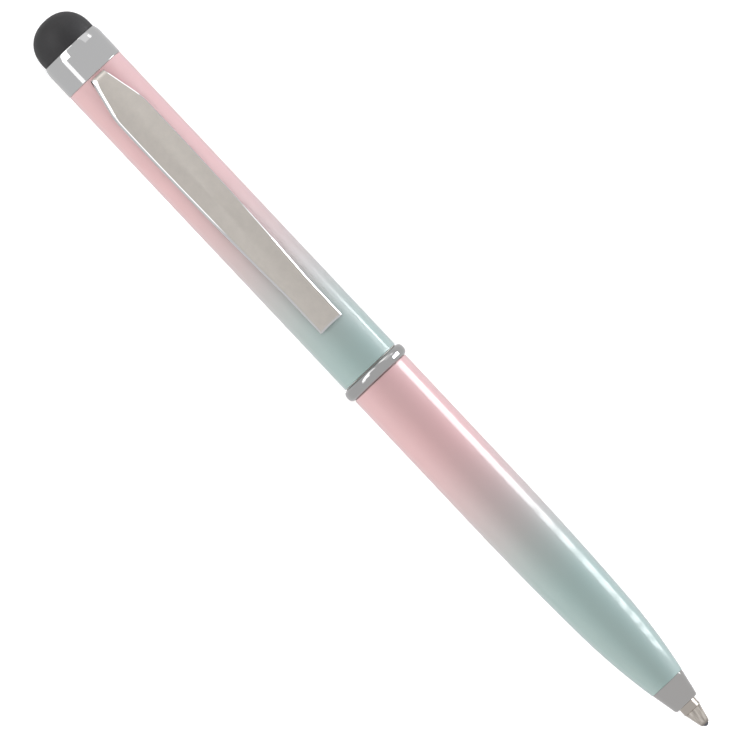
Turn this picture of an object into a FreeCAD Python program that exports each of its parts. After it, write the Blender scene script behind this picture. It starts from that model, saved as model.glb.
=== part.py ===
import FreeCAD, Part
import math
import os
from types import SimpleNamespace

import Sketcher

# A slim twist-action ballpoint pen with a stylus dome on its back end.
# The pen lies along X with its writing tip towards +X and its clip on top, towards +Z.
# It rests on its centre ring: the origin is under the middle of its length, at the ring's foot.
# All sizes are in millimetres. "Back" is the stylus end and "front" is the writing end.

DRIVING_SIZES = {
    # lengths along the pen, from the stylus dome to the writing ball
    "dome_length": 5.1,
    "collar_length": 5.2,
    "upper_length": 56.28,
    "joint_gap": 0.12,
    "ring_length": 1.9,
    "lower_length": 58.7,
    "nose_length": 4.0,
    "tip_reach": 4.2,
    # outside radii
    "dome_radius": 4.5,
    "collar_radius": 4.8,
    "collar_lip_radius": 4.55,
    "collar_round": 1.4,
    "upper_radius": 4.75,
    "lower_radius": 4.8,
    "ring_radius": 5.35,
    "shoulder_radius": 4.335,
    "barrel_end_radius": 2.83,
    "nose_back_radius": 2.75,
    "nose_front_radius": 2.03,
    "nose_edge": 0.25,
    "straight_length": 23.4,
    "shoulder_length": 22.0,
    "edge_round": 0.12,
    # stylus end
    "dome_wall": 0.8,
    "skirt_radius": 3.95,
    "skirt_depth": 2.9,
    "core_stem_radius": 1.5,
    "core_stem_depth": 1.6,
    "stud_radius": 2.0,
    "stud_length": 5.0,
    "plug_length": 7.0,
    # barrel bores
    "upper_bore": 4.25,
    "liner_bore": 3.85,
    "liner_length": 16.4,
    "lower_bore": 4.3,
    "lower_bore_length": 26.0,
    "spigot_radius": 2.2,
    "spigot_length": 5.8,
    "ring_bore": 3.8,
    # twist mechanism
    "fit_gap": 0.05,
    "end_float": 0.1,
    "rotor_radius": 3.8,
    "rotor_bore": 3.45,
    "rotor_length": 38.0,
    "cam_bore": 2.75,
    "cam_length": 11.0,
    "cam_back": 33.0,
    "lead": 11.0,
    "cam_sweep": 206.0,
    "cam_overrun": 13.0,
    "cam_slot": 1.3,
    "bush_length": 4.5,
    "guide_radius": 2.7,
    "guide_bore": 2.2,
    "guide_back": 31.0,
    "guide_front": 80.0,
    "guide_slot": 1.12,
    "pin_radius": 0.5,
    "pin_reach": 3.35,
    "pin_place": 41.2,
    "travel": 5.5,
    "snap_ring_length": 0.9,
    "seal_place": 60.4,
    "seal_thickness": 0.7,
    "housing_front": 84.0,
    "housing_bore": 1.75,
    # refill
    "carrier_back": 38.4,
    "carrier_front": 47.0,
    "carrier_radius": 2.15,
    "socket_depth": 4.0,
    "refill_radius": 1.6,
    "refill_bore": 1.25,
    "flange_length": 2.0,
    "plug_depth": 4.0,
    "tube_front": 128.5,
    "ink_back": 58.0,
    "stem_depth": 4.5,
    "tip_radius": 1.4,
    "tip_cone_length": 2.6,
    "tip_throat_radius": 0.95,
    "tip_rim_radius": 0.6,
    "channel_radius": 0.3,
    "ball_radius": 0.5,
    "ball_gap": 0.02,
    "ball_cover": 0.15,
    "nose_bore": 1.5,
    "nose_relief": 1.7,
    "nose_relief_end": 129.0,
    # clip
    "clip_setback": 0.44,
    "clip_length": 47.82,
    "clip_thickness": 0.7,
    "neck_thickness": 0.85,
    "neck_back_width": 2.38,
    "neck_front_width": 2.76,
    "neck_foot": 2.4,
    "clip_top": 6.95,
    "clip_bend": 1.3,
    "shoulder_place": 5.2,
    "shoulder_width": 4.72,
    "shoulder_curve": 10.4,
    "blade_place": 7.2,
    "blade_width": 5.22,
    "blade_curve": 600.0,
    "end_place": 40.5,
    "end_width": 4.0,
    "bow_start": 26.0,
    "heel_top": 5.95,
    "heel_length": 4.2,
    "heel_gap": 0.07,
    "end_round": 0.8,
    "clip_corner": 0.15,
    "end_hollow": 18.0,
    "slot_gap": 0.15,
    "window_gap": 0.04,
}

FULL_TURN = 360.0


class Size:
    """A number together with the sheet expression that gives it."""

    def __init__(self, value, text):
        self.value = value
        self.text = text

    def __add__(self, other):
        other = as_size(other)
        return Size(self.value + other.value, f"({self.text} + {other.text})")

    def __sub__(self, other):
        other = as_size(other)
        return Size(self.value - other.value, f"({self.text} - {other.text})")

    def __mul__(self, factor):
        return Size(self.value * factor, f"({self.text} * {factor})")

    def __neg__(self):
        return Size(-self.value, f"(0 - {self.text})")


def as_size(thing):
    return thing if isinstance(thing, Size) else Size(thing, str(thing))


ZERO = Size(0.0, "0")


def fill_sheet(doc):
    """Put every driving dimension in the sheet and give each back as a Size."""
    sheet = doc.addObject("Spreadsheet::Sheet", "Sizes")
    sizes = SimpleNamespace()
    for row, (alias, number) in enumerate(DRIVING_SIZES.items(), start=1):
        sheet.set(f"A{row}", alias)
        sheet.set(f"B{row}", str(number))
        sheet.setAlias(f"B{row}", alias)
        setattr(sizes, alias, Size(number, f"Sizes.{alias}"))
    return sizes


doc = FreeCAD.newDocument("TwistPen")
d = fill_sheet(doc)
doc.recompute()

# Stations along the pen, measured from the apex of the stylus dome.
COLLAR_BACK = d.dome_length
UPPER_BACK = COLLAR_BACK + d.collar_length
UPPER_FRONT = UPPER_BACK + d.upper_length
RING_BACK = UPPER_FRONT + d.joint_gap
LOWER_BACK = RING_BACK + d.ring_length
LOWER_FRONT = LOWER_BACK + d.lower_length
NOSE_FRONT = LOWER_FRONT + d.nose_length
PEN_FRONT = NOSE_FRONT + d.tip_reach
BALL_CENTRE = PEN_FRONT - d.ball_radius
CLIP_BACK = UPPER_BACK + d.clip_setback

SUB_PARTS = []


def place(thing, label, station, turn=0.0, axis=(1, 0, 0)):
    """Label a sub-part and set it on the pen's axis, that far from the dome's apex."""
    thing.Label = label
    along = station - PEN_FRONT * 0.5
    where = FreeCAD.Vector(along.value, 0, d.ring_radius.value)
    rotation = FreeCAD.Rotation(FreeCAD.Vector(*axis), turn)
    thing.Placement = FreeCAD.Placement(where, rotation)
    thing.setExpression("Placement.Base.x", along.text)
    thing.setExpression("Placement.Base.z", d.ring_radius.text)
    SUB_PARTS.append(thing)


# Sketches

def point(x, y):
    """An outline point that a straight edge runs to."""
    return SimpleNamespace(x=as_size(x), y=as_size(y), kind="line", radius=None, side=0)


def bend(x, y, radius, side):
    """An outline point that an arc runs to: side 1 turns left on the way, side -1 right."""
    return SimpleNamespace(x=as_size(x), y=as_size(y), kind="arc", radius=as_size(radius), side=side)


def flow(x, y):
    """An outline point that an arc runs to, tangent to the edge before it."""
    return SimpleNamespace(x=as_size(x), y=as_size(y), kind="tangent", radius=None, side=0)


def add_sketch(body, plane, name):
    """A sketch on one of the body's own origin planes."""
    sketch = body.newObject("Sketcher::SketchObject", name)
    support = next(item for item in body.Origin.OriginFeatures if item.Role == plane)
    sketch.AttachmentSupport = [(support, "")]
    sketch.MapMode = "FlatFace"
    return sketch


def arc_between(start, end, radius, side):
    """The short arc from start to end, its end tangent, and the ends' Sketcher positions."""
    chord = end - start
    half = chord.Length / 2
    left = FreeCAD.Vector(-chord.y, chord.x, 0).normalize()
    rise = math.sqrt(max(radius**2 - half**2, 0.0))
    centre = start + chord * 0.5 + left * (rise * side)
    first, last = (start, end) if side > 0 else (end, start)
    begin_angle = math.atan2(first.y - centre.y, first.x - centre.x)
    end_angle = math.atan2(last.y - centre.y, last.x - centre.x)
    if end_angle <= begin_angle:
        end_angle += 2 * math.pi
    circle = Part.Circle(centre, FreeCAD.Vector(0, 0, 1), radius)
    spoke = end - centre
    tangent = FreeCAD.Vector(-spoke.y, spoke.x, 0).normalize() * side
    ends = (1, 2) if side > 0 else (2, 1)
    return Part.ArcOfCircle(circle, begin_angle, end_angle), tangent, ends


def tangent_arc(start, end, heading):
    """The arc from start to end that leaves along heading."""
    chord = end - start
    across = heading.x * chord.y - heading.y * chord.x
    radius = chord.Length**2 / (2 * abs(across))
    return arc_between(start, end, radius, 1 if across > 0 else -1)


def bind(sketch, constraint, size):
    index = sketch.addConstraint(constraint)
    sketch.setExpression(f"Constraints[{index}]", size.text)


def pin_down(sketch, edge, corner):
    """Hold one end of an edge at its corner of the outline."""
    if corner.x.value == 0:
        sketch.addConstraint(Sketcher.Constraint("PointOnObject", *edge, -2))
    else:
        bind(sketch, Sketcher.Constraint("DistanceX", *edge, corner.x.value), corner.x)
    if corner.y.value == 0:
        sketch.addConstraint(Sketcher.Constraint("PointOnObject", *edge, -1))
    else:
        bind(sketch, Sketcher.Constraint("DistanceY", *edge, corner.y.value), corner.y)


def trace(sketch, corners):
    """Draw a closed outline and bind every corner and radius to the sheet."""
    spots = [FreeCAD.Vector(corner.x.value, corner.y.value, 0) for corner in corners]
    heading = FreeCAD.Vector(1, 0, 0)
    edges = []
    for number, corner in enumerate(corners):
        start, end = spots[number - 1], spots[number]
        ends = (1, 2)
        if corner.kind == "line":
            curve = Part.LineSegment(start, end)
            heading = (end - start).normalize()
        elif corner.kind == "arc":
            curve, heading, ends = arc_between(start, end, corner.radius.value, corner.side)
        else:
            curve, heading, ends = tangent_arc(start, end, heading)
        edges.append((sketch.addGeometry(curve, False), *ends))
    for number, corner in enumerate(corners):
        geometry, begin, finish = edges[number]
        before, _, before_finish = edges[number - 1]
        joint = "Tangent" if corner.kind == "tangent" else "Coincident"
        sketch.addConstraint(Sketcher.Constraint(joint, before, before_finish, geometry, begin))
        pin_down(sketch, (geometry, finish), corner)
        if corner.kind == "arc":
            bind(sketch, Sketcher.Constraint("Radius", geometry, corner.radius.value), corner.radius)


# Features

def turned(label, station, corners):
    """A body turned about the pen's axis. The outline is drawn from its station."""
    body = doc.addObject("PartDesign::Body", label)
    sketch = add_sketch(body, "XZ_Plane", f"{label}_outline")
    trace(sketch, corners)
    turn = body.newObject("PartDesign::Revolution", f"{label}_turn")
    turn.Profile = (sketch, [""])
    turn.ReferenceAxis = (sketch, ["H_Axis"])
    turn.Angle = FULL_TURN
    place(body, label, station)
    return body


def tube(label, station, length, outer, bore):
    return turned(label, station, [
        point(0, bore), point(0, outer), point(length, outer), point(length, bore)])


def cut(body, name, sketch, depth, both_ways=False):
    """Cut a sketch out of a body, towards the sketch's normal or both ways."""
    before = body.Shape.Volume
    removal = body.newObject("PartDesign::Pocket", name)
    removal.Profile = (sketch, [""])
    removal.setExpression("Length", depth.text)
    removal.Midplane = both_ways
    removal.Reversed = not both_ways
    doc.recompute()
    if body.Shape.Volume >= before:
        raise RuntimeError(f"{name} cuts nothing")


def pocket(body, name, loops, depth, both_ways=False):
    """Cut outlines drawn on the body's own XY plane out of it, upwards or both ways."""
    doc.recompute()
    sketch = add_sketch(body, "XY_Plane", f"{name}_outline")
    for loop in loops:
        trace(sketch, loop)
    cut(body, name, sketch, depth, both_ways)


def rectangle(x_low, x_high, y_low, y_high):
    return [point(x_low, y_low), point(x_high, y_low), point(x_high, y_high), point(x_low, y_high)]


# Stylus end

def make_stylus_dome():
    """Hollow rubber dome whose skirt is held in the collar."""
    inner = d.dome_radius - d.dome_wall
    skirt_end = d.dome_length + d.skirt_depth
    skirt_bore = d.skirt_radius - d.dome_wall
    return turned("stylus_dome", ZERO, [
        point(ZERO, ZERO),
        bend(d.dome_radius, d.dome_radius, d.dome_radius, -1),
        point(d.dome_length, d.dome_radius),
        point(d.dome_length, d.skirt_radius),
        point(skirt_end, d.skirt_radius),
        point(skirt_end, skirt_bore),
        point(d.dome_length, skirt_bore),
        point(d.dome_radius, inner),
        bend(d.dome_wall, ZERO, inner, 1),
    ])


def make_stylus_core():
    """Plug that backs the dome's skirt, with a stem pressed into the collar."""
    head = d.skirt_radius - d.dome_wall
    head_end = d.skirt_depth
    stem_end = head_end + d.core_stem_depth
    return turned("stylus_core", COLLAR_BACK, [
        point(ZERO, ZERO),
        point(ZERO, head),
        point(head_end, head),
        point(head_end, d.core_stem_radius),
        point(stem_end, d.core_stem_radius),
        point(stem_end, ZERO),
    ])


def make_stylus_collar():
    """Chromed collar with a round shoulder, a socket for the skirt and a stud for the plug."""
    stem_floor = d.skirt_depth + d.core_stem_depth
    stud_end = d.collar_length + d.stud_length
    return turned("stylus_collar", COLLAR_BACK, [
        point(stem_floor, ZERO),
        point(stem_floor, d.core_stem_radius),
        point(d.skirt_depth, d.core_stem_radius),
        point(d.skirt_depth, d.skirt_radius),
        point(ZERO, d.skirt_radius),
        point(ZERO, d.collar_lip_radius - d.edge_round),
        bend(d.edge_round, d.collar_lip_radius, d.edge_round, -1),
        bend(d.collar_round, d.collar_radius, d.collar_radius, -1),
        point(d.collar_length - d.edge_round, d.collar_radius),
        bend(d.collar_length, d.collar_radius - d.edge_round, d.edge_round, -1),
        point(d.collar_length, d.stud_radius),
        point(stud_end, d.stud_radius),
        point(stud_end, ZERO),
    ])


# Upper half

def neck_outline(gap):
    """The clip's neck seen from above, with room all round it."""
    start = d.clip_setback - gap
    finish = d.clip_setback + d.neck_thickness + gap
    back = d.neck_back_width * 0.5 + gap
    front = d.neck_front_width * 0.5 + gap
    return [point(start, -back), point(finish, -front), point(finish, front), point(start, back)]


def make_end_plug():
    """Plug pressed into the back of the upper barrel, slotted for the clip's neck."""
    body = tube("end_plug", UPPER_BACK, d.plug_length, d.upper_bore, d.stud_radius)
    pocket(body, "neck_slot", [neck_outline(d.slot_gap)], d.ring_radius)
    return body


def make_upper_barrel():
    """Lacquered upper barrel with a window that the clip's neck comes out of."""
    end = d.upper_length
    body = turned("upper_barrel", UPPER_BACK, [
        point(ZERO, d.upper_bore),
        point(ZERO, d.upper_radius - d.edge_round),
        bend(d.edge_round, d.upper_radius, d.edge_round, -1),
        point(end - d.edge_round, d.upper_radius),
        bend(end, d.upper_radius - d.edge_round, d.edge_round, -1),
        point(end, d.upper_bore),
    ])
    pocket(body, "neck_window", [neck_outline(d.window_gap)], d.ring_radius)
    return body


def make_grip_liner():
    """Nylon sleeve in the upper barrel that grips the rotor when the halves are pushed together."""
    back = UPPER_FRONT - d.liner_length
    length = d.liner_length - d.end_float
    return tube("grip_liner", back, length, d.upper_bore, d.liner_bore)


# Clip

def clip_side_corners():
    """Side of the clip, seen along Y: neck, bend, bowed blade and the heel near the barrel."""
    under = d.clip_top - d.clip_thickness
    inner_bend = d.clip_bend - d.clip_thickness
    heel_foot = d.upper_radius + d.heel_gap
    heel_back = d.clip_length - d.heel_length
    crown = d.clip_length - d.end_round
    return [
        point(ZERO, d.neck_foot),
        point(ZERO, d.clip_top - d.clip_bend),
        bend(d.clip_bend, d.clip_top, d.clip_bend, -1),
        point(d.bow_start, d.clip_top),
        flow(crown, d.heel_top),
        bend(d.clip_length, d.heel_top - d.end_round, d.end_round, -1),
        point(d.clip_length, heel_foot),
        point(heel_back + d.end_round, heel_foot),
        bend(heel_back, heel_foot + d.clip_thickness * 0.5, d.heel_length, -1),
        point(d.bow_start, under),
        point(d.neck_thickness + inner_bend, under),
        bend(d.neck_thickness, under - inner_bend, inner_bend, 1),
        point(d.neck_thickness, d.neck_foot),
    ]


def clip_plan_corners():
    """Outline of the clip seen from above: straight shoulders, a long curve, a hollow end."""
    root = d.neck_back_width * 0.5
    neck = d.neck_front_width * 0.5
    shoulder = d.shoulder_width * 0.5
    blade = d.blade_width * 0.5
    end = d.end_width * 0.5
    turn_start = d.clip_length - d.clip_corner
    return [
        point(ZERO, -root),
        point(d.neck_thickness, -neck),
        point(d.shoulder_place, -shoulder),
        bend(d.blade_place, -blade, d.shoulder_curve, 1),
        bend(d.end_place, -end, d.blade_curve, 1),
        point(turn_start, -end),
        bend(d.clip_length, d.clip_corner - end, d.clip_corner, 1),
        bend(d.clip_length, end - d.clip_corner, d.end_hollow, -1),
        bend(turn_start, end, d.clip_corner, 1),
        point(d.end_place, end),
        bend(d.blade_place, blade, d.blade_curve, 1),
        bend(d.shoulder_place, shoulder, d.shoulder_curve, 1),
        point(d.neck_thickness, neck),
        point(ZERO, root),
    ]


def make_clip():
    """Sprung steel clip: a bent strip cut to its plan outline."""
    body = doc.addObject("PartDesign::Body", "clip")
    side = add_sketch(body, "XZ_Plane", "clip_side")
    trace(side, clip_side_corners())
    strip = body.newObject("PartDesign::Pad", "clip_strip")
    strip.Profile = (side, [""])
    blank_width = d.blade_width * 2
    strip.setExpression("Length", blank_width.text)
    strip.Midplane = True
    margin = d.blade_width
    frame = rectangle(-margin, d.clip_length + margin, -margin, margin)
    pocket(body, "clip_trim", [frame, clip_plan_corners()], d.clip_top * 2)
    place(body, "clip", CLIP_BACK)
    return body


# Lower half

def make_center_ring():
    """Chromed centre ring with a full round edge."""
    half = d.ring_length * 0.5
    foot = d.ring_radius - half
    return turned("center_ring", RING_BACK, [
        point(ZERO, d.ring_bore),
        point(ZERO, foot),
        bend(half, d.ring_radius, half, -1),
        bend(d.ring_length, foot, half, -1),
        point(d.ring_length, d.ring_bore),
    ])


def make_lower_barrel():
    """Lacquered lower barrel: a straight grip, then a taper of two arcs that run on smoothly."""
    end = d.lower_length
    bore_end = end - d.spigot_length
    shoulder = d.straight_length + d.shoulder_length
    return turned("lower_barrel", LOWER_BACK, [
        point(ZERO, d.lower_bore),
        point(ZERO, d.lower_radius - d.edge_round),
        bend(d.edge_round, d.lower_radius, d.edge_round, -1),
        point(d.straight_length, d.lower_radius),
        flow(shoulder, d.shoulder_radius),
        flow(end, d.barrel_end_radius),
        point(end, d.spigot_radius),
        point(bore_end, d.spigot_radius),
        point(d.lower_bore_length, d.lower_bore),
    ])


def make_nose_cone():
    """Chromed nose with a spigot pressed into the barrel."""
    spigot_back = LOWER_FRONT - d.spigot_length
    shoulder = d.spigot_length
    end = shoulder + d.nose_length
    relief = d.nose_relief_end - spigot_back
    return turned("nose_cone", spigot_back, [
        point(ZERO, d.nose_relief),
        point(ZERO, d.spigot_radius),
        point(shoulder, d.spigot_radius),
        point(shoulder, d.nose_back_radius),
        point(end - d.nose_edge, d.nose_front_radius),
        bend(end, d.nose_front_radius - d.nose_edge, d.nose_edge, -1),
        point(end, d.nose_bore),
        point(relief, d.nose_bore),
        point(relief, d.nose_relief),
    ])


def make_transmission_housing():
    """Brass seat pressed into the lower barrel. Its neck carries the ring and the guide tube."""
    neck_back = RING_BACK
    neck = LOWER_BACK - neck_back
    seat = d.guide_front - neck_back
    end = d.housing_front - neck_back
    return turned("transmission_housing", neck_back, [
        point(ZERO, d.guide_radius),
        point(ZERO, d.ring_bore),
        point(neck, d.ring_bore),
        point(neck, d.lower_bore),
        point(end, d.lower_bore),
        point(end, d.housing_bore),
        point(seat, d.housing_bore),
        point(seat, d.guide_radius),
    ])


def slot_corners(low, high, half):
    """A slot with round ends, in a sketch whose x runs along the pen."""
    return [
        point(high - half, -half),
        flow(high - half, half),
        point(low + half, half),
        flow(low + half, -half),
    ]


def make_guide_tube():
    """Fixed inner tube. Its two straight slots keep the refill from turning."""
    length = d.guide_front - d.guide_back
    body = tube("guide_tube", d.guide_back, length, d.guide_radius, d.guide_bore)
    half = d.guide_slot * 0.5
    front = d.pin_place + half - d.guide_back
    back = front - d.travel - d.guide_slot
    outline = slot_corners(back, front, half)
    pocket(body, "guide_slots", [outline], d.guide_radius * 4, both_ways=True)
    return body


def make_retaining_ring():
    """Ring on the guide tube, close behind the cam, that keeps the rotor on."""
    back = d.cam_back - d.end_float - d.snap_ring_length
    return tube("retaining_ring", back, d.snap_ring_length, d.rotor_bore - d.fit_gap, d.guide_radius)


def make_friction_ring():
    """Rubber ring on the guide tube that gives the twist its drag."""
    ring = doc.addObject("Part::Torus", "friction_ring")
    middle = d.guide_radius + d.seal_thickness * 0.5
    ring.setExpression("Radius1", middle.text)
    ring.setExpression("Radius2", (d.seal_thickness * 0.5).text)
    place(ring, "friction_ring", d.seal_place, turn=90.0, axis=(0, 1, 0))
    return ring


# Twist mechanism

def make_rotor_sleeve():
    """Brass sleeve that turns with the upper half."""
    back = UPPER_FRONT - d.rotor_length
    return tube("rotor_sleeve", back, d.rotor_length, d.rotor_radius, d.rotor_bore)


def make_rotor_bush():
    """Acetal bearing in the front of the rotor sleeve."""
    back = UPPER_FRONT - d.bush_length
    return tube("rotor_bush", back, d.bush_length, d.rotor_bore, d.cam_bore)


def make_cam_sleeve():
    """Acetal cam in the back of the rotor sleeve, with two left-handed helical slots."""
    body = tube("cam_sleeve", d.cam_back, d.cam_length, d.rotor_bore, d.cam_bore)
    half = d.cam_slot * 0.5
    overrun = d.lead * (DRIVING_SIZES["cam_overrun"] / FULL_TURN)
    back_end = d.pin_place - d.travel - overrun - d.cam_back
    profile = add_sketch(body, "XZ_Plane", "helix_profile")
    margin = d.fit_gap * 4
    trace(profile, rectangle(back_end - half, back_end + half, d.cam_bore - margin, d.rotor_bore + margin))
    doc.recompute()
    before = body.Shape.Volume
    groove = body.newObject("PartDesign::SubtractiveHelix", "helical_slot")
    groove.Profile = (profile, [""])
    groove.ReferenceAxis = (profile, ["H_Axis"])
    groove.Mode = "pitch-turns-angle"
    groove.setExpression("Pitch", d.lead.text)
    groove.setExpression("Turns", f"{d.cam_sweep.text} / {FULL_TURN}")
    groove.LeftHanded = True
    doc.recompute()
    if body.Shape.Volume >= before:
        raise RuntimeError("the helical slot cuts nothing")
    pair = body.newObject("PartDesign::PolarPattern", "helical_slots")
    pair.Originals = [groove]
    axis = next(item for item in body.Origin.OriginFeatures if item.Role == "X_Axis")
    pair.Axis = (axis, [""])
    pair.Angle = FULL_TURN
    pair.Occurrences = 2
    body.Tip = pair
    body.Placement.Rotation = FreeCAD.Rotation(FreeCAD.Vector(1, 0, 0), d.cam_overrun.value)
    return body


# Refill

def make_refill_carrier():
    """Acetal slider in the guide tube that the refill screws into."""
    length = d.carrier_front - d.carrier_back
    floor = length - d.socket_depth
    body = turned("refill_carrier", d.carrier_back, [
        point(ZERO, ZERO),
        point(ZERO, d.carrier_radius),
        point(length, d.carrier_radius),
        point(length, d.refill_bore),
        point(floor, d.refill_bore),
        point(floor, ZERO),
    ])
    doc.recompute()
    sketch = add_sketch(body, "XY_Plane", "pin_hole_outline")
    middle = d.pin_place - d.carrier_back
    centre = FreeCAD.Vector(middle.value, 0, 0)
    circle = Part.Circle(centre, FreeCAD.Vector(0, 0, 1), d.pin_radius.value)
    edge = sketch.addGeometry(circle, False)
    bind(sketch, Sketcher.Constraint("Radius", edge, d.pin_radius.value), d.pin_radius)
    pin_down(sketch, (edge, 3), point(middle, ZERO))
    cut(body, "pin_hole", sketch, d.carrier_radius * 4, both_ways=True)
    return body


def make_cam_pin():
    """Steel cross pin that the cam drives along the guide slots."""
    pin = doc.addObject("Part::Cylinder", "cam_pin")
    pin.setExpression("Radius", d.pin_radius.text)
    pin.setExpression("Height", (d.pin_reach * 2).text)
    place(pin, "cam_pin", d.pin_place)
    low = d.ring_radius - d.pin_reach
    pin.Placement.Base.z = low.value
    pin.setExpression("Placement.Base.z", low.text)
    return pin


def make_refill_adapter():
    """Plastic tail of the refill: a threaded stud, a flange and a plug in the tube."""
    back = d.carrier_front - d.socket_depth + d.end_float
    stud = d.carrier_front - back
    flange = stud + d.flange_length
    end = flange + d.plug_depth
    return turned("refill_adapter", back, [
        point(ZERO, ZERO),
        point(ZERO, d.refill_bore),
        point(stud, d.refill_bore),
        point(stud, d.refill_radius),
        point(flange, d.refill_radius),
        point(flange, d.refill_bore),
        point(end, d.refill_bore),
        point(end, ZERO),
    ])


def make_refill_tube():
    back = d.carrier_front + d.flange_length
    return tube("refill_tube", back, d.tube_front - back, d.refill_radius, d.refill_bore)


def make_ink_charge():
    """The ink column, from its free end to the tip's stem."""
    length = d.tube_front - d.stem_depth - d.ink_back
    return turned("ink_charge", d.ink_back, [
        point(ZERO, ZERO),
        point(ZERO, d.refill_bore),
        point(length, d.refill_bore),
        point(length, ZERO),
    ])


def make_refill_tip():
    """Nickel-silver tip: stem in the tube, cylinder, cone, and a cup that is rolled over the ball."""
    back = d.tube_front - d.stem_depth
    rim = BALL_CENTRE + d.ball_cover - back
    cone = rim - d.tip_cone_length
    throat = rim - d.tip_cone_length * 0.4
    cup = d.ball_radius + d.ball_gap
    centre = BALL_CENTRE - back
    cup_depth = math.sqrt(cup.value**2 - DRIVING_SIZES["channel_radius"]**2)
    rim_bore = math.sqrt(cup.value**2 - DRIVING_SIZES["ball_cover"]**2)
    return turned("refill_tip", back, [
        point(ZERO, d.channel_radius),
        point(ZERO, d.refill_bore),
        point(d.stem_depth, d.refill_bore),
        point(d.stem_depth, d.tip_radius),
        point(cone, d.tip_radius),
        point(throat, d.tip_throat_radius),
        point(rim, d.tip_rim_radius),
        point(rim, rim_bore),
        bend(centre - cup_depth, d.channel_radius, cup, 1),
    ])


def make_writing_ball():
    ball = doc.addObject("Part::Sphere", "writing_ball")
    ball.setExpression("Radius", d.ball_radius.text)
    place(ball, "writing_ball", BALL_CENTRE)
    return ball


def check(things):
    """Stop if any object failed or any sub-part isn't one sound solid."""
    for thing in doc.Objects:
        if "Invalid" in thing.State or "Error" in thing.State:
            raise RuntimeError(f"{thing.Name} failed: {thing.State}")
    for thing in things:
        shape = thing.Shape
        if shape.isNull() or not shape.isValid() or len(shape.Solids) != 1:
            raise RuntimeError(f"{thing.Label} isn't one sound solid")


make_stylus_dome()
make_stylus_core()
make_stylus_collar()
make_end_plug()
make_upper_barrel()
make_grip_liner()
make_clip()
make_center_ring()
make_lower_barrel()
make_nose_cone()
make_transmission_housing()
make_guide_tube()
make_retaining_ring()
make_friction_ring()
make_rotor_sleeve()
make_rotor_bush()
make_cam_sleeve()
make_refill_carrier()
make_cam_pin()
make_refill_adapter()
make_refill_tube()
make_ink_charge()
make_refill_tip()
make_writing_ball()

doc.recompute()
check(SUB_PARTS)
os.makedirs("parts", exist_ok=True)
for sub_part in SUB_PARTS:
    sub_part.Shape.exportStep(f"parts/{sub_part.Label}.step")
    box = sub_part.Shape.BoundBox
    print(f"{sub_part.Label}: x {box.XMin:.2f} to {box.XMax:.2f}, volume {sub_part.Shape.Volume:.2f}")
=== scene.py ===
import bmesh
import bpy
import math
from mathutils import Matrix, Vector


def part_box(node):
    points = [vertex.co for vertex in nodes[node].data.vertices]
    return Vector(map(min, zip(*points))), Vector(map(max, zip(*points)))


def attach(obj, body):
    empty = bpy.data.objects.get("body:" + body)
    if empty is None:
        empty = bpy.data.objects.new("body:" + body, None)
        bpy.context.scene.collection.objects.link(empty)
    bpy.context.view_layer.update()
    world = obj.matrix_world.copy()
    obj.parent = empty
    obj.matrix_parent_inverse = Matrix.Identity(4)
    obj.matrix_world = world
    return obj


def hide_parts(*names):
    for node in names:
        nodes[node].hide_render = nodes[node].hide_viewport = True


# A slim twist-action ballpoint pen with a stylus dome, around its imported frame.
# Outlines are in millimetres: x runs along the pen from the stylus to the writing tip.

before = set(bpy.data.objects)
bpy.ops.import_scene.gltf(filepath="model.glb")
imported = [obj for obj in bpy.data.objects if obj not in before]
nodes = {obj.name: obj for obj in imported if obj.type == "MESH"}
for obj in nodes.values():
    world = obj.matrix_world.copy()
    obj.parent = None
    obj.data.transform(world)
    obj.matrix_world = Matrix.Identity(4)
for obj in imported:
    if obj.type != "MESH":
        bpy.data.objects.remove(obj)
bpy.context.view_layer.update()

MM = 0.001
ROUND_STEPS = 192
# Faces that meet at more than this many degrees are shaded with a sharp edge
CREASE = 32.0
AXIS_HEIGHT = (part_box("center_ring")[0].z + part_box("center_ring")[1].z) / 2


# ---------------------------------------------------------------- outlines

def reach(node):
    """A turned node's back and front along the pen and its outside radius, in millimetres."""
    low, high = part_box(node)
    return low.x / MM, high.x / MM, (high.y - low.y) / 2 / MM


def arc(centre, radius, begin, end, steps):
    """Points on a round corner: degrees from the +x direction, towards larger radii."""
    points = []
    for step in range(steps + 1):
        angle = math.radians(begin + (end - begin) * step / steps)
        points.append((centre[0] + radius * math.cos(angle), centre[1] + radius * math.sin(angle)))
    return points


def tangent_curve(start, slope, end, steps):
    """Points of the arc that leaves start at a slope and reaches end, and its slope there."""
    heading = math.atan(slope)
    chord_x, chord_y = end[0] - start[0], end[1] - start[1]
    chord = math.hypot(chord_x, chord_y)
    turn = 2 * (math.atan2(chord_y, chord_x) - heading)
    radius = chord / (2 * math.sin(turn / 2))
    points = []
    for step in range(1, steps + 1):
        angle = turn * step / steps
        along = radius * math.sin(angle)
        aside = radius * (1 - math.cos(angle))
        points.append((
            start[0] + along * math.cos(heading) - aside * math.sin(heading),
            start[1] + along * math.sin(heading) + aside * math.cos(heading),
        ))
    return points, math.tan(heading + turn)


# ---------------------------------------------------------------- mesh making

def finish_mesh(name, shape, crease=CREASE):
    """A smooth-shaded object from a bmesh, with sharp edges where faces meet at an angle."""
    bmesh.ops.recalc_face_normals(shape, faces=shape.faces)
    mesh = bpy.data.meshes.new(name)
    shape.to_mesh(mesh)
    shape.free()
    mesh.polygons.foreach_set("use_smooth", [True] * len(mesh.polygons))
    mesh.set_sharp_from_angle(angle=math.radians(crease))
    piece = bpy.data.objects.new(name, mesh)
    bpy.context.scene.collection.objects.link(piece)
    return piece


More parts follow.
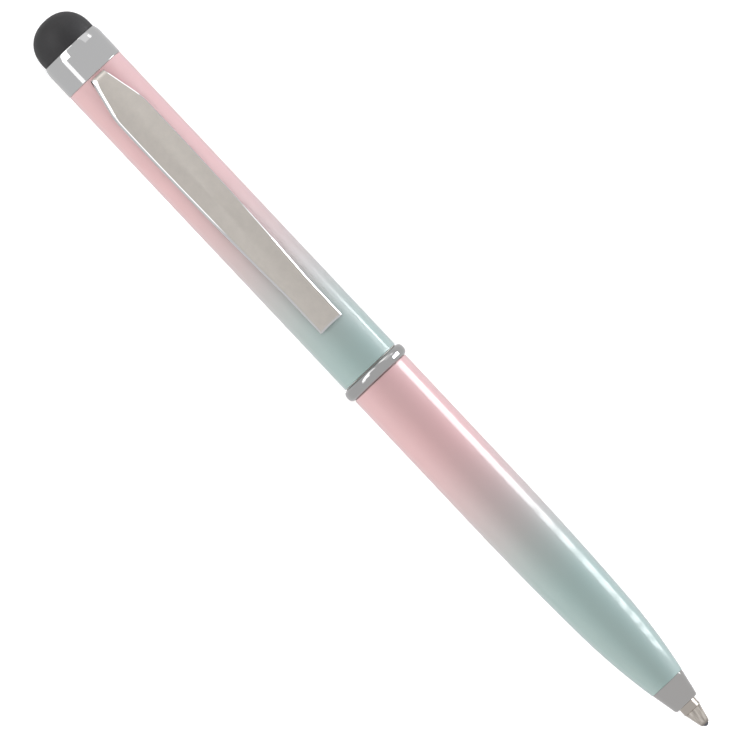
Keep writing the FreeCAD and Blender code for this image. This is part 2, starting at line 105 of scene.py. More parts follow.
def hold_flats(outline):
    """Add points close to the ends of long straight stretches, so that their shading stays flat."""
    long_stretch = 0.6
    inset = 0.04
    held = []
    for number, point in enumerate(outline):
        before = outline[number - 1]
        length = math.dist(before, point)
        if number and length > long_stretch:
            for place in (inset, length - inset):
                held.append(tuple(a + (b - a) * place / length for a, b in zip(before, point)))
        held.append(point)
    return held


def lathe(name, outline, steps=ROUND_STEPS):
    """Turn a closed outline of (x, radius) points about the pen's axis."""
    on_axis = 1e-6
    shape = bmesh.new()
    rings = []
    for x, radius in hold_flats(outline):
        if radius < on_axis:
            rings.append([shape.verts.new((x * MM, 0.0, AXIS_HEIGHT))])
            continue
        ring = []
        for step in range(steps):
            angle = 2 * math.pi * step / steps
            y = radius * MM * math.cos(angle)
            z = radius * MM * math.sin(angle) + AXIS_HEIGHT
            ring.append(shape.verts.new((x * MM, y, z)))
        rings.append(ring)
    for number, ring in enumerate(rings):
        join_rings(shape, rings[number - 1], ring)
    return finish_mesh(name, shape)


def join_rings(shape, first, second):
    """Faces between two rings, either of which may be one point on the axis."""
    if len(first) == 1 and len(second) == 1:
        return
    count = max(len(first), len(second))
    for step in range(count):
        ahead = (step + 1) % count
        corners = [first[step % len(first)], first[ahead % len(first)]]
        corners += [second[ahead % len(second)], second[step % len(second)]]
        shape.faces.new(list(dict.fromkeys(corners)))


def dress(piece, body, node, material):
    """Put a new piece on its body in place of its CAD node, with its finish."""
    piece.data.materials.append(material)
    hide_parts(node)
    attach(piece, body)


# ---------------------------------------------------------------- materials

def new_material(name, colour, metallic, roughness):
    """A Principled material and the things needed to add to it."""
    material = bpy.data.materials.new(name)
    material.use_nodes = True
    tree = material.node_tree
    shader = tree.nodes["Principled BSDF"]
    shader.inputs["Base Color"].default_value = (*colour, 1.0)
    shader.inputs["Metallic"].default_value = metallic
    shader.inputs["Roughness"].default_value = roughness
    material.diffuse_color = (*colour, 1.0)
    return material, tree, shader


def place_in_metres(tree, stretch=(1.0, 1.0, 1.0)):
    """The place on the object, stretched, as a vector socket."""
    where = tree.nodes.new("ShaderNodeTexCoord")
    mapping = tree.nodes.new("ShaderNodeMapping")
    mapping.inputs["Scale"].default_value = stretch
    tree.links.new(where.outputs["Object"], mapping.inputs["Vector"])
    return mapping.outputs["Vector"]


def place_along_pen(tree):
    """The place along X on the object, in metres."""
    axes = tree.nodes.new("ShaderNodeSeparateXYZ")
    tree.links.new(place_in_metres(tree), axes.inputs["Vector"])
    return axes.outputs["X"]


def noise(tree, vector, scale, detail=2.0, roughness=0.5):
    """Cloudy noise from 0 to 1, with scale lumps to the metre."""
    texture = tree.nodes.new("ShaderNodeTexNoise")
    texture.inputs["Scale"].default_value = scale
    texture.inputs["Detail"].default_value = detail
    texture.inputs["Roughness"].default_value = roughness
    tree.links.new(vector, texture.inputs["Vector"])
    return texture.outputs["Fac"]


def spread(tree, value, low, high, begin=0.0, end=1.0, interpolation="LINEAR"):
    """Go from low to high while the value goes from begin to end, and no further."""
    ramp = tree.nodes.new("ShaderNodeMapRange")
    ramp.interpolation_type = interpolation
    ramp.inputs["From Min"].default_value = begin
    ramp.inputs["From Max"].default_value = end
    ramp.inputs["To Min"].default_value = low
    ramp.inputs["To Max"].default_value = high
    tree.links.new(value, ramp.inputs["Value"])
    return ramp.outputs["Result"]


def combine(tree, operation, first, second):
    """The result of a maths operation on two values."""
    node = tree.nodes.new("ShaderNodeMath")
    node.operation = operation
    tree.links.new(first, node.inputs[0])
    tree.links.new(second, node.inputs[1])
    return node.outputs["Value"]


def roughen(tree, shader, value, low, high):
    """Vary the roughness from low to high with a value from 0 to 1."""
    tree.links.new(spread(tree, value, low, high), shader.inputs["Roughness"])


def bump(tree, shader, value, height, socket="Normal"):
    """Raise the surface by up to height metres where value is 1."""
    node = tree.nodes.new("ShaderNodeBump")
    node.inputs["Strength"].default_value = 1.0
    node.inputs["Distance"].default_value = height
    tree.links.new(value, node.inputs["Height"])
    tree.links.new(node.outputs["Normal"], shader.inputs[socket])


def tint(tree, shader, value, dark, light):
    """Blend the base colour by a value: 0 is dark, 1 is light, and beyond them it carries on."""
    mix = tree.nodes.new("ShaderNodeMix")
    mix.data_type = "RGBA"
    mix.clamp_factor = False
    mix.inputs["A"].default_value = (*dark, 1.0)
    mix.inputs["B"].default_value = (*light, 1.0)
    tree.links.new(value, mix.inputs["Factor"])
    tree.links.new(mix.outputs["Result"], shader.inputs["Base Color"])


PINK = (0.502, 0.309, 0.313)
MINT = (0.241, 0.325, 0.311)


def make_lacquer(name, fade_start, fade_end):
    """Clear-coated lacquer that shades from pink to mint between two places in millimetres."""
    material, tree, shader = new_material(name, PINK, 0.0, 0.42)
    where = place_in_metres(tree)
    unevenness = 1.2 * MM
    drift = spread(tree, noise(tree, where, 90.0), -unevenness, unevenness)
    place = combine(tree, "ADD", place_along_pen(tree), drift)
    fade = spread(tree, place, 0.0, 1.0, fade_start * MM, fade_end * MM, "SMOOTHSTEP")
    tint(tree, shader, fade, PINK, MINT)
    peel = noise(tree, where, 900.0, detail=3.0)
    roughen(tree, shader, peel, 0.36, 0.46)
    shader.inputs["Coat Weight"].default_value = 1.0
    shader.inputs["Coat Roughness"].default_value = 0.05
    shader.inputs["Coat IOR"].default_value = 1.52
    bump(tree, shader, peel, 4e-8, "Coat Normal")
    return material


def make_rubber():
    """Matt black rubber with a fine grain."""
    material, tree, shader = new_material("rubber", (0.022, 0.022, 0.023), 0.0, 0.58)
    where = place_in_metres(tree)
    grain = noise(tree, where, 5200.0, detail=4.0)
    tint(tree, shader, grain, (0.008, 0.008, 0.009), (0.016, 0.015, 0.016))
    roughen(tree, shader, noise(tree, where, 700.0), 0.5, 0.66)
    bump(tree, shader, grain, 6e-6)
    return material


def make_chrome(name, colour=(0.62, 0.62, 0.625), roughness=0.07, ripple=1.5e-6):
    """Plated metal with the faint ripple and haze of buffing."""
    material, tree, shader = new_material(name, colour, 1.0, roughness)
    where = place_in_metres(tree, (2.5, 1.0, 1.0))
    haze = noise(tree, where, 380.0, detail=3.0)
    roughen(tree, shader, haze, roughness * 0.7, roughness * 1.5)
    bump(tree, shader, noise(tree, where, 140.0), ripple)
    return material


def make_satin_steel():
    """Satin steel, brushed along the clip."""
    material, tree, shader = new_material("clip_satin", (0.653, 0.609, 0.564), 1.0, 0.42)
    lengthwise = place_in_metres(tree, (0.03, 1.0, 1.0))
    brushed = noise(tree, lengthwise, 26000.0, detail=3.0, roughness=0.65)
    cloud = noise(tree, place_in_metres(tree), 800.0, detail=4.0, roughness=0.7)
    tint(tree, shader, cloud, (0.59, 0.555, 0.515), (0.70, 0.65, 0.60))
    roughen(tree, shader, brushed, 0.36, 0.50)
    bump(tree, shader, brushed, 1.6e-6)
    shader.inputs["Anisotropic"].default_value = 0.4
    return material


def make_turned(name, colour, roughness):
    """Turned metal with fine rings about the pen's axis."""
    material, tree, shader = new_material(name, colour, 1.0, roughness)
    rings = noise(tree, place_in_metres(tree, (1.0, 0.01, 0.01)), 9000.0, detail=3.0, roughness=0.7)
    dark = tuple(channel * 0.88 for channel in colour)
    light = tuple(min(channel * 1.08, 1.0) for channel in colour)
    tint(tree, shader, noise(tree, place_in_metres(tree), 300.0), dark, light)
    roughen(tree, shader, rings, roughness * 0.75, roughness * 1.3)
    bump(tree, shader, rings, 1.5e-6)
    return material


def make_point_metal():
    """Nickel silver: plain on the cylinder, streaked lengthwise on the cone, with painted shade
    darkening its rim.
    """
    material, tree, shader = new_material("nickel_silver", (0.57, 0.52, 0.47), 1.0, 0.12)
    place = place_along_pen(tree)
    rim = reach("refill_tip")[1]
    on_cone = spread(tree, place, 0.0, 1.0, (rim - 2.7) * MM, (rim - 2.6) * MM)
    streaks = noise(tree, place_in_metres(tree, (0.12, 1.0, 1.0)), 2300.0)
    blend = tree.nodes.new("ShaderNodeMix")
    blend.data_type = "FLOAT"
    blend.inputs["A"].default_value = 0.22
    tree.links.new(on_cone, blend.inputs["Factor"])
    tree.links.new(spread(tree, streaks, 0.0, 1.0, 0.36, 0.64), blend.inputs["B"])
    # Painted shade: the colour darkens over the last half millimetre towards the rim that is rolled
    # over the ball.
    rim_painted_shade = spread(tree, place, 1.0, -0.6, (rim - 0.6) * MM, (rim - 0.1) * MM)
    streaks_and_rim_shade = combine(tree, "MINIMUM", blend.outputs["Result"], rim_painted_shade)
    tint(tree, shader, streaks_and_rim_shade, (0.47, 0.43, 0.39), (0.73, 0.675, 0.615))
    roughen(tree, shader, noise(tree, place_in_metres(tree), 2000.0), 0.08, 0.16)
    return material


def make_plastic(name, colour, roughness):
    """Natural engineering plastic, slightly translucent, with a moulded skin."""
    material, tree, shader = new_material(name, colour, 0.0, roughness)
    skin = noise(tree, place_in_metres(tree), 1500.0, detail=3.0)
    roughen(tree, shader, skin, roughness * 0.85, roughness * 1.2)
    bump(tree, shader, skin, 3e-6)
    shader.inputs["Subsurface Weight"].default_value = 0.25
    shader.inputs["Subsurface Radius"].default_value = (0.0006, 0.0005, 0.0004)
    return material


def make_ink():
    """Dark blue ink."""
    material, tree, shader = new_material("ink", (0.012, 0.013, 0.035), 0.0, 0.2)
    roughen(tree, shader, noise(tree, place_in_metres(tree), 800.0), 0.15, 0.3)
    return material


rubber = make_rubber()
chrome = make_chrome("chrome")
ring_chrome = make_chrome("ring_chrome", (0.475, 0.475, 0.475))
nose_chrome = make_chrome("nose_chrome", (0.49, 0.48, 0.472), roughness=0.05, ripple=4e-7)
# Dark turned metal for the ring's grooves, standing in for the shade in the gaps beside the ring.
groove_painted_shade = make_turned("groove_painted_shade", (0.34, 0.32, 0.30), 0.5)
clip_satin = make_satin_steel()
clip_polished = make_chrome("clip_polished", (0.70, 0.70, 0.71), roughness=0.03, ripple=5e-7)
brass = make_turned("brass", (0.72, 0.52, 0.24), 0.24)
steel = make_turned("steel", (0.56, 0.56, 0.57), 0.26)
nickel_silver = make_point_metal()
refill_metal = make_turned("refill_metal", (0.66, 0.63, 0.56), 0.22)
carbide = make_chrome("carbide", (0.16, 0.16, 0.18), roughness=0.05)
acetal = make_plastic("acetal", (0.82, 0.81, 0.76), 0.38)
nylon = make_plastic("nylon", (0.74, 0.75, 0.73), 0.45)
ink = make_ink()
upper_lacquer = make_lacquer("upper_lacquer", -40.75, -2.25)
lower_lacquer = make_lacquer("lower_lacquer", 10.25, 42.25)

# The nodes that keep their CAD shape
CAD_FINISHES = {
    "stylus_core": nylon,
    "end_plug": brass,
    "grip_liner": nylon,
    "rotor_sleeve": brass,
    "cam_sleeve": acetal,
    "rotor_bush": acetal,
    "guide_tube": steel,
    "retaining_ring": steel,
    "friction_ring": rubber,
    "transmission_housing": brass,
    "refill_carrier": acetal,
    "cam_pin": steel,
    "refill_adapter": acetal,
    "refill_tube": refill_metal,
    "ink_charge": ink,
    "writing_ball": carbide,
}


# ---------------------------------------------------------------- the pen's pieces

# The round on an outer edge, in millimetres
EDGE = 0.12


def build_stylus_dome():
    """Blunt hollow dome whose skirt goes into the collar."""
    apex, skirt_end, radius = reach("stylus_dome")
    collar_back = reach("stylus_collar")[0]
    bluntness = 2.2
    steps = 48
    wall = 0.8
    skirt = radius - 0.55
    outline = []
    for step in range(steps + 1):
        angle = math.pi / 2 * step / steps
        along = 1 - math.cos(angle) ** (2 / bluntness)
        out = math.sin(angle) ** (2 / bluntness)
        outline.append((apex + radius * along, radius * out))
    outline += arc((collar_back - EDGE, radius - EDGE), EDGE, 90, 0, 6)
    outline += [(collar_back, skirt), (skirt_end, skirt), (skirt_end, skirt - wall)]
    outline += arc((apex + radius, 0.0), radius - wall, 90, 180, 24)
    outline[-1] = (apex + wall, 0.0)
    piece = lathe("stylus_dome_skin", outline)
    dress(piece, "upper_half", "stylus_dome", rubber)


def build_stylus_collar():
    """Collar that rounds down to the dome and meets the barrel with a crisp edge."""
    back, stud_end, radius = reach("stylus_collar")
    front = reach("upper_barrel")[0]
    lip = 4.55
    lip_round = 0.04
    shoulder = 1.4
    skirt = 3.95
    stem = 1.5
    stud = 2.0
    socket_floor = reach("stylus_dome")[1]
    stem_floor = reach("stylus_core")[1]
    # The shoulder's arc runs level into the collar. Its first tenth gives way to the lip's round.
    sweep = 2 * math.degrees(math.atan((radius - lip) / shoulder))
    curve = shoulder / math.sin(math.radians(sweep))
    outline = [(stem_floor, 0.0), (stem_floor, stem), (socket_floor, stem), (socket_floor, skirt)]
    outline += [(back, skirt)]
    outline += arc((back + lip_round, lip - lip_round), lip_round, 180, 90 + sweep, 6)
    outline += arc((back + shoulder, radius - curve), curve, 90 + sweep * 0.9, 90, 16)
    outline += arc((front - EDGE, radius - EDGE), EDGE, 90, 0, 6)
    outline += [(front, stud), (stud_end, stud), (stud_end, 0.0)]
    piece = lathe("stylus_collar_shell", outline)
    dress(piece, "upper_half", "stylus_collar", chrome)


def build_center_ring():
    """Round-edged band between two narrow grooves, whose faces are painted dark as shade."""
    back, front, radius = reach("center_ring")
    groove = 0.035
    joint = 0.09
    groove_radius = 4.6
    foot = 4.45
    bore = 3.8
    fullness = 2.5
    edge_angle = 10
    steps = 56
    middle = (back + front) / 2
    half = (front - back) / 2 - groove
    band = []
    for step in range(steps + 1):
        angle = math.radians(180 - edge_angle - (180 - 2 * edge_angle) * step / steps)
        across = math.copysign(abs(math.cos(angle)) ** (2 / fullness), math.cos(angle))
        out = math.sin(angle) ** (2 / fullness)
        band.append((middle + half * across, foot + (radius - foot) * out))
    outline = [(back - joint, bore), (back - joint, groove_radius), (band[0][0], groove_radius)]
    outline += band
    outline += [(band[-1][0], groove_radius), (front, groove_radius), (front, bore)]
    piece = lathe("center_ring_band", outline)
    dress(piece, "lower_half", "center_ring", ring_chrome)
    piece.data.materials.append(groove_painted_shade)
    # The faces inside the grooves take the dark second material: painted shade in the gaps.
    plated_from = groove_radius + 0.02
    for face in piece.data.polygons:
        if math.hypot(face.center.y, face.center.z - AXIS_HEIGHT) < plated_from * MM:
            face.material_index = 1


def build_upper_barrel():
    """Upper barrel tube, with the clip's window cut through its wall."""
    back, front, radius = reach("upper_barrel")
    bore = 4.25
    outline = [(back, bore)]
    outline += arc((back + EDGE, radius - EDGE), EDGE, 180, 90, 6)
    outline += arc((front - EDGE, radius - EDGE), EDGE, 90, 0, 6)
    outline += [(front, bore)]
    piece = lathe("upper_barrel_shell", outline)
    cutter = window_cutter()
    cut = piece.modifiers.new("window", "BOOLEAN")
    cut.operation = "DIFFERENCE"
    cut.solver = "EXACT"
    cut.object = cutter
    apply_modifiers(piece)
    bpy.data.objects.remove(cutter)
    dress(piece, "upper_half", "upper_barrel", upper_lacquer)


def window_cutter():
    """A block round the clip's neck, where it comes out of the barrel."""
    start = reach("clip")[0] - WINDOW_GAP
    finish = start + NECK_THICKNESS + 2 * WINDOW_GAP
    back = NECK_BACK / 2 + WINDOW_GAP
    front = NECK_FRONT / 2 + WINDOW_GAP
    corners = ((start, -back), (finish, -front), (finish, front), (start, back))
    clear_of_barrel = 8.0
    shape = bmesh.new()
    rings = []
    for height in (0.0, clear_of_barrel):
        z = AXIS_HEIGHT + height * MM
        rings.append([shape.verts.new((x * MM, y * MM, z)) for x, y in corners])
        shape.faces.new(rings[-1])
    join_rings(shape, *rings)
    return finish_mesh("window_cutter", shape)


def apply_modifiers(piece):
    """Bake the modifiers into the mesh and shade it like the others."""
    graph = bpy.context.evaluated_depsgraph_get()
    mesh = bpy.data.meshes.new_from_object(piece.evaluated_get(graph))
    piece.modifiers.clear()
    piece.data = mesh
    mesh.polygons.foreach_set("use_smooth", [True] * len(mesh.polygons))
    mesh.set_sharp_from_angle(angle=math.radians(CREASE))


def build_lower_barrel():
    """Lower barrel: straight grip, then a taper of two arcs that run on smoothly."""
    back, front, radius = reach("lower_barrel")
    straight_end = back + 23.4
    shoulder = (straight_end + 22.0, 4.335)
    end_radius = 2.83
    rim = 0.06
    bore, bore_end = 4.3, back + 26.0
    spigot, spigot_start = 2.2, front - 5.8
    first, slope = tangent_curve((straight_end, radius), 0.0, shoulder, 40)
    second, slope = tangent_curve(shoulder, slope, (front - rim, end_radius), 40)
    outline = [(back, bore)]
    outline += arc((back + EDGE, radius - EDGE), EDGE, 180, 90, 6)
    outline += [(straight_end, radius)]
    outline += first + second
    tilt = 90 + math.degrees(math.atan(slope))
    outline += arc((front - rim, end_radius - rim), rim, tilt, 0, 5)[1:]
    outline += [(front, spigot), (spigot_start, spigot), (bore_end, bore)]
    piece = lathe("lower_barrel_shell", outline)
    dress(piece, "lower_half", "lower_barrel", lower_lacquer)


def build_nose_cone():
    """Nose cone with a rounded front edge and the spigot that holds it in the barrel."""
    back, front, _ = reach("nose_cone")
    shoulder = reach("lower_barrel")[1]
    back_radius, front_radius = 2.75, 2.03
    chamfer = 0.03
    step_place, step_depth = 0.34, 0.045
    corner = 0.4
    mouth_round = 0.08
    spigot = 2.2
    bore, relief_bore = 1.5, 1.7
    relief = front - 2.3
    slope = (front_radius - back_radius) / (front - shoulder)
    tilt = 90 + math.degrees(math.atan(slope))
    outline = [(back, relief_bore), (back, spigot), (shoulder, spigot)]
    outline += [(shoulder, back_radius - chamfer), (shoulder + chamfer, back_radius)]
    outline += [(shoulder + step_place, back_radius - step_depth)]
    outline += arc((front - corner, front_radius - corner), corner, tilt, 0, 10)
    outline += arc((front - mouth_round, bore + mouth_round), mouth_round, 0, -90, 4)
    outline += [(relief, bore), (relief, relief_bore)]
    piece = lathe("nose_cone_shell", outline)
    dress(piece, "lower_half", "nose_cone", nose_chrome)


def build_refill_tip():
    """Turned point: cylinder, a shallow step, the cone and the rim rolled over the ball."""
    back, rim, radius = reach("refill_tip")
    ball_back, ball_front, ball_radius = reach("writing_ball")
    centre = (ball_back + ball_front) / 2
    cup = ball_radius + 0.02
    channel = 0.3
    stem, stem_end = 1.25, back + 4.5
    back_chamfer, front_chamfer = 0.08, 0.03
    step = rim - 2.67
    cone = ((step, 1.26), (step + 0.08, 1.31), (rim - 0.47, 0.8))
    lip_round = 0.05
    lip = ((rim - 0.28, 0.74), (rim - 0.14, 0.68), (rim - lip_round, 0.62))
    outline = [(back, channel), (back, stem), (stem_end, stem)]
    outline += [(stem_end, radius - back_chamfer), (stem_end + back_chamfer, radius)]
    outline += [(step - front_chamfer, radius), (step, radius - front_chamfer), *cone, *lip]
    outline += arc((rim - lip_round, 0.56), lip_round, 60, 0, 4)
    mouth = math.degrees(math.acos((rim - centre) / cup))
    inner = 180 - math.degrees(math.asin(channel / cup))
    outline += arc((centre, 0.0), cup, mouth, inner, 14)
    piece = lathe("refill_tip_point", outline, steps=96)
    dress(piece, "refill", "refill_tip", nickel_silver)


# The clip, in millimetres from its back face and from the pen's axis
NECK_BACK = 2.38
NECK_FRONT = 2.76
NECK_THICKNESS = 0.85
WINDOW_GAP = 0.04
CLIP_THICKNESS = 0.7
CLIP_TOP = 6.95
CLIP_BEND = 0.8
SHOULDER = (5.2, 2.36)
SHOULDER_CURVE = 10.4
BLADE = (7.2, 2.61)
BLADE_CURVE = 600.0
BLADE_END = (40.5, 2.0)
BOW_START = 26.0
HEEL_TOP = 5.95
HEEL_LENGTH = 4.2
HEEL_ROUND = 0.4
HEEL_GAP = 0.07
HEEL_BLEND = 1.2
CORNER = 0.15
END_HOLLOW = 0.1
END_REACH = 0.12


def along_line(start, end, x):
    """Height at x of the straight line between two points."""
    share = (x - start[0]) / (end[0] - start[0])
    return start[1] + (end[1] - start[1]) * share


def along_bulge(start, end, radius, x):
    """Height at x of the arc that rises from the chord between two points."""
    chord = math.dist(start, end)
    rise = math.sqrt(radius**2 - (chord / 2) ** 2)
    centre_x = (start[0] + end[0]) / 2 + rise * (end[1] - start[1]) / chord
    centre_y = (start[1] + end[1]) / 2 - rise * (end[0] - start[0]) / chord
    return centre_y + math.sqrt(radius**2 - (x - centre_x) ** 2)


def clip_half_width(x, length):
    """Half the clip's width at a distance along it: straight shoulders, then a long curve."""
    neck = (NECK_THICKNESS, NECK_FRONT / 2)
    if x <= neck[0]:
        half = along_line((0.0, NECK_BACK / 2), neck, x)
    elif x <= SHOULDER[0]:
        half = along_line(neck, SHOULDER, x)
    elif x <= BLADE[0]:
        half = along_bulge(SHOULDER, BLADE, SHOULDER_CURVE, x)
    elif x <= BLADE_END[0]:
        half = along_bulge(BLADE, BLADE_END, BLADE_CURVE, x)
    else:
        half = BLADE_END[1]
    past = max(x - (length - CORNER), 0.0)
    return half - CORNER + math.sqrt(max(CORNER**2 - past**2, 0.0))


def clip_sections(length, barrel_radius):
    """Pairs of outer and inner points down the clip's side, from the neck's foot to the heel."""
    foot = 2.4
    under = CLIP_TOP - CLIP_THICKNESS
    inner_bend = CLIP_BEND - CLIP_THICKNESS
    heel_foot = barrel_radius + HEEL_GAP
    crown = length - HEEL_ROUND
    pairs = [((0.0, foot), (NECK_THICKNESS, foot))]
    outer_bend = arc((CLIP_BEND, CLIP_TOP - CLIP_BEND), CLIP_BEND, 180, 90, 16)
    inner = arc((NECK_THICKNESS + inner_bend, under - inner_bend), inner_bend, 180, 90, 16)
    pairs += list(zip(outer_bend, inner))
    flat_steps = 60
    for step in range(1, flat_steps + 1):
        x = CLIP_BEND + (BOW_START - CLIP_BEND) * (step / flat_steps) ** 1.5
        pairs.append(((x, CLIP_TOP), (max(x, inner[-1][0]), under)))
    bow, _ = tangent_curve((BOW_START, CLIP_TOP), 0.0, (crown, HEEL_TOP), 44)
    heel_back = length - HEEL_LENGTH
    for x, z in bow:
        below = z - CLIP_THICKNESS
        settle = ease(x, heel_back - HEEL_BLEND, heel_back + HEEL_BLEND)
        pairs.append(((x, z), (x, below + (heel_foot - below) * settle)))
    lip = arc((crown, HEEL_TOP - HEEL_ROUND), HEEL_ROUND, 90, 0, 12)[1:]
    undercut = 0.08
    for step, spot in enumerate(lip, start=1):
        inset = crown + (HEEL_ROUND - undercut) * step / len(lip)
        pairs.append((spot, (inset, heel_foot)))
    return pairs


def ease(x, start, end):
    """Rise smoothly from 0 at start to 1 at end."""
    share = min(max((x - start) / (end - start), 0.0), 1.0)
    return share * share * (3 - 2 * share)


# How the clip's edges are ground. On the left is a shallow bevel, wider on the shoulders and
# widest at the root, with a steeper face outside it. On the right is one steep bevel.
LEFT_SLOPE = math.tan(math.radians(23.0))
LEFT_BEVEL = 0.13
SHOULDER_BEVEL = 0.12
ROOT_FADE = 0.55
LEFT_FACE_WIDTH = 0.26
LEFT_FACE_DEPTH = 0.42
RIGHT_SLOPE = math.tan(math.radians(41.0))
RIGHT_BEVEL = 0.12
HAIRLINE = 0.03
TOP_STEPS = 8
LEFT_POINTS = 5


def clip_outline(x, bend, top_half, under_half, thickness):
    """The strip's outline across it, as (width, depth) points round from its lower left corner.

    The bend is 0 on the upright neck, where the left bevel is a hairline, and 1 past it.
    The widths change smoothly between places along the clip, in millimetres.
    """
    widening = SHOULDER_BEVEL * (1 - ease(x, 4.5, 7.5)) + math.exp(-max(x, 0.0) / ROOT_FADE)
    left = HAIRLINE + (LEFT_BEVEL + widening - HAIRLINE) * ease(bend, 0.1, 0.8)
    face = LEFT_FACE_WIDTH * (1 - 0.5 * ease(x, 22.0, 38.0))
    face = HAIRLINE + (face - HAIRLINE) * ease(bend, 0.3, 1.0)
    right = RIGHT_BEVEL + 0.01 * ease(x, 8.0, 30.0)
    drop = min(left * LEFT_SLOPE, thickness - 0.3)
    face_depth = min(LEFT_FACE_DEPTH, thickness - 0.1 - drop)
    rim = 0.05
    top_start = face + left - top_half
    top_end = top_half - right
    points = [(rim - under_half, thickness), (-under_half, thickness - rim)]
    points += [(-top_half, drop + face_depth), (0.02 - top_half, drop + face_depth * 0.9)]
    points += [(face - top_half, drop)]
    for step in range(TOP_STEPS + 1):
        points.append((top_start + (top_end - top_start) * step / TOP_STEPS, 0.0))
    points += [(top_half, right * RIGHT_SLOPE)]
    points += [(under_half, thickness - rim), (under_half - rim, thickness)]
    for step in range(1, TOP_STEPS):
        points.append(((under_half - rim) * (1 - 2 * step / TOP_STEPS), thickness))
    return points


def build_clip():
    """Clip blade as a bent strip: satin on top, with polished edges and end."""
    back, front, _ = reach("clip")
    length = front - back + END_REACH
    barrel_radius = reach("upper_barrel")[2]
    hollow_start = length - 1.2
    lip_start = length - HEEL_ROUND - 0.01
    shape = bmesh.new()
    rings = []
    places = []
    for outer, inner in clip_sections(length, barrel_radius):
        outer, inner = Vector(outer), Vector(inner)
        across = inner - outer
        top_half = clip_half_width(outer.x, length)
        under_half = clip_half_width(inner.x, length)
        bend = math.degrees(math.atan2(-across.y, across.x)) / 90
        ring = []
        for width, depth in clip_outline(outer.x, bend, top_half, under_half, across.length):
            spot = outer + across.normalized() * depth
            hollow = END_HOLLOW * (1 - (width / BLADE_END[1]) ** 2)
            x = spot.x - hollow * ease(spot.x, hollow_start, length)
            z = AXIS_HEIGHT + spot.y * MM
            ring.append(shape.verts.new(((back + x) * MM, width * MM, z)))
        rings.append(ring)
        places.append(outer.x)
    # The flat top and the underside are satin, and everything round them is polished
    satin_top = range(LEFT_POINTS, LEFT_POINTS + TOP_STEPS)
    under = range(len(rings[0]) - TOP_STEPS, len(rings[0]))
    for number, (first, second) in enumerate(zip(rings, rings[1:])):
        lip = places[number] >= lip_start
        for side in range(len(first)):
            ahead = (side + 1) % len(first)
            face = shape.faces.new((first[side], first[ahead], second[ahead], second[side]))
            satin = side in satin_top and not lip
            face.material_index = 0 if satin or side in under else 1
    shape.faces.new(rings[0])
    shape.faces.new(rings[-1]).material_index = 1
    piece = finish_mesh("clip_blade", shape, crease=14.0)
    dress(piece, "spring_clip", "clip", clip_satin)
    piece.data.materials.append(clip_polished)


# ---------------------------------------------------------------- stage, lights and camera

WHITE = (1.0, 1.0, 1.0)
COOL = (0.96, 1.0, 1.02)

# How far the cards are from the pen, in metres. The bands are a little nearer than the cards
# they lie over, because two lamps in one plane hide each other from a mirrored ray.
CARD_DISTANCE = 0.4
BAND_DISTANCE = 0.395

# The right strip's edges, in degrees from straight up
STRIP = (74.0, 103.0)


def build_floor():
    """A white light table. Polished metal doesn't mirror it, as if it were small."""
    material, tree, shader = new_material("floor", (0.93, 0.93, 0.93), 0.0, 0.75)
    paper = noise(tree, place_in_metres(tree), 60.0)
    roughen(tree, shader, paper, 0.7, 0.8)
    shader.inputs["Emission Color"].default_value = (*WHITE, 1.0)
    shader.inputs["Emission Strength"].default_value = 0.35
    bpy.ops.mesh.primitive_plane_add(size=6.0, location=(0.0, 0.0, 0.0))
    floor = bpy.context.object
    floor.name = "floor"
    floor.data.materials.append(material)
    floor.visible_glossy = False
    floor.visible_shadow = False


def add_panel(name, place, size, radiance, colour):
    """A rectangular area light that faces the pen: size is its length along X and its height."""
    data = bpy.data.lights.new(name, "AREA")
    data.shape = "RECTANGLE"
    data.size, data.size_y = size
    data.energy = radiance * size[0] * size[1] * math.pi
    data.color = colour
    lamp = bpy.data.objects.new(name, data)
    bpy.context.scene.collection.objects.link(lamp)
    lamp.location = place
    toward = Vector((place[0], 0.0, AXIS_HEIGHT)) - Vector(place)
    lamp.rotation_euler = toward.to_track_quat("-Z", "Y").to_euler()
    lamp.visible_camera = False
    return lamp


def add_fill(name, place, size, radiance, colour=WHITE):
    """A soft light that no gloss mirrors."""
    add_panel(name, place, size, radiance, colour).visible_glossy = False


def add_card(name, side, angles, span, radiance, colour=WHITE, distance=CARD_DISTANCE):
    """A bright card that is only mirrored. Side 1 is +Y, -1 is -Y. Its edges are at these angles
    from straight up, and its ends at these places along X."""
    middle = math.radians(sum(angles) / 2)
    height = 2 * distance * math.tan(math.radians(angles[1] - angles[0]) / 2)
    across = side * distance * math.sin(middle)
    above = AXIS_HEIGHT + distance * math.cos(middle)
    place = (sum(span) / 2, across, above)
    lamp = add_panel(name, place, (span[1] - span[0], height), radiance, colour)
    lamp.visible_diffuse = False
    return lamp


def add_fading_cards(name, side, angles, span, radiances, colour=WHITE):
    """Equal cards side by side along X, one for each radiance."""
    width = (span[1] - span[0]) / len(radiances)
    for number, radiance in enumerate(radiances):
        start = span[0] + width * number
        add_card(f"{name}_{number}", side, angles, (start, start + width), radiance, colour)


def add_bands(name, places, half_width, radiance, slant):
    """Narrow cards over the right strip about these places along X, turned by a slant."""
    for number, place in enumerate(places):
        span = (place - half_width, place + half_width)
        lamp = add_card(f"{name}_{number}", 1, STRIP, span, radiance, COOL, BAND_DISTANCE)
        lamp.rotation_euler.rotate_axis("Z", math.radians(slant))


def build_world():
    """A grey room that gloss mirrors, with little of its light on matt surfaces."""
    world = bpy.data.worlds.new("studio")
    bpy.context.scene.world = world
    world.use_nodes = True
    tree = world.node_tree
    rays = tree.nodes.new("ShaderNodeLightPath")
    strength = spread(tree, rays.outputs["Is Diffuse Ray"], 0.72, 0.15)
    tree.nodes["Background"].inputs["Color"].default_value = (*WHITE, 1.0)
    tree.links.new(strength, tree.nodes["Background"].inputs["Strength"])


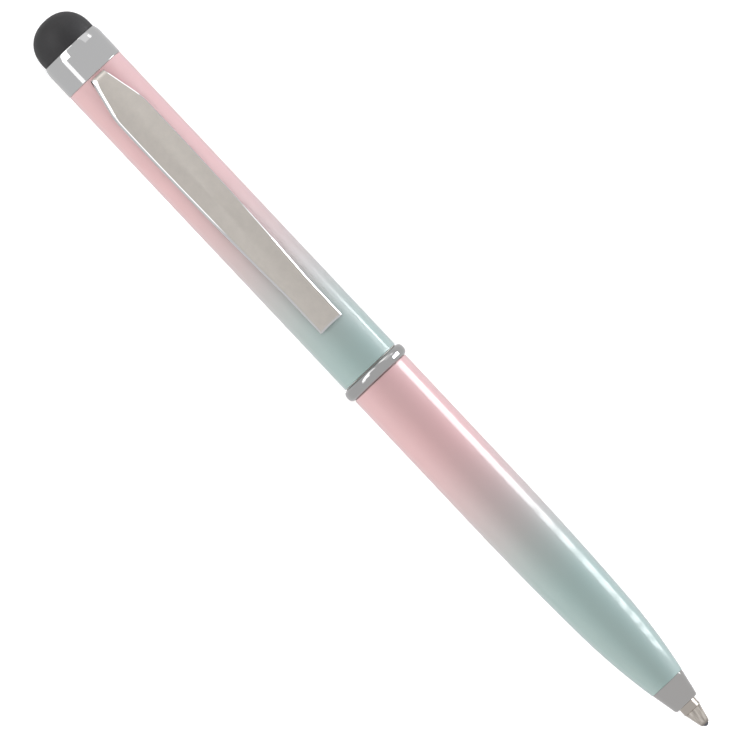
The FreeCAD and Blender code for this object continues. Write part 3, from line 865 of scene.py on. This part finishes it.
def light_stage():
    """Soft light from above and low on both sides, and the cards that gloss mirrors."""
    add_fill("overhead", (0.0, 0.0, 1.8), (2.0, 2.0), 2.36)
    add_fill("left_fill", (-0.3, -0.69, 0.13), (1.6, 0.2), 7.1)
    add_fill("right_fill", (0.0, 0.69, 0.115), (1.6, 0.2), 8.1, (0.94, 0.94, 1.0))
    add_card("left_streak", -1, (39.0, 53.0), (-0.2, -0.031), 1.0)
    add_fading_cards("left_streak_end", -1, (39.0, 53.0), (-0.031, -0.022), (0.7, 0.45, 0.2))
    add_card("left_card", -1, (20.0, 52.0), (-0.45, -0.12), 1.8)
    add_card("left_far_card", -1, (20.0, 52.0), (-4.0, -0.45), 1.8)
    add_card("top_far_card", -1, (-12.0, 20.0), (-4.0, -0.45), 0.9)
    add_card("right_card", 1, (50.0, 92.0), (-0.45, -0.12), 0.28)
    add_card("right_far_card", 1, (50.0, 92.0), (-1.2, -0.45), 1.3, (1.0, 0.98, 0.95))
    add_card("root_edge", 1, (78.0, 87.0), (-0.2, -0.115), 1.0)
    add_card("right_strip", 1, STRIP, (-0.0005, 0.038), 7.6, COOL)
    add_card("right_far_strip", 1, STRIP, (0.038, 0.148), 2.6, COOL)
    add_card("nose_glint", 1, (103.0, 109.0), (0.09, 0.148), 3.5, COOL)
    add_bands("near_band", (0.0435, 0.053, 0.0635, 0.0715), 0.003, 5.0, 1.0)
    add_bands("far_band", (0.084, 0.103, 0.12, 0.137), 0.005, 4.5, 3.4)
    strip_fade = (0.4, 0.8, 1.6, 3.2, 5.6, 7.6, 8.4)
    add_fading_cards("back_strip", 1, (92.0, 102.5), (-0.026, -0.0017), strip_fade, COOL)
    glow_fade = (0.35, 0.7, 0.8, 0.8, 0.9, 1.0, 1.2)
    add_fading_cards("back_glow", 1, (74.0, 92.0), (-0.0235, -0.0017), glow_fade, COOL)


def add_camera():
    """A long lens above the pen, rolled so that the pen runs down to the right."""
    distance = 2.5
    view_width = 0.10536
    lean = Matrix.Rotation(math.radians(1.5), 3, "X")
    roll = Matrix.Rotation(math.radians(46.733), 3, "Z")
    data = bpy.data.cameras.new("camera")
    data.sensor_width = 36.0
    data.lens = data.sensor_width * distance / view_width
    data.clip_end = 20.0
    camera = bpy.data.objects.new("camera", data)
    bpy.context.scene.collection.objects.link(camera)
    centre = Vector((0.0002, -0.00036, AXIS_HEIGHT))
    camera.location = centre + lean @ Vector((0.0, 0.0, distance))
    camera.rotation_euler = (lean @ roll).to_euler()
    bpy.context.scene.camera = camera


for node, material in CAD_FINISHES.items():
    nodes[node].data.materials.clear()
    nodes[node].data.materials.append(material)
build_stylus_dome()
build_stylus_collar()
build_upper_barrel()
build_clip()
build_center_ring()
build_lower_barrel()
build_nose_cone()
build_refill_tip()
build_floor()
build_world()
light_stage()
add_camera()
bpy.context.scene.view_settings.view_transform = "Standard"
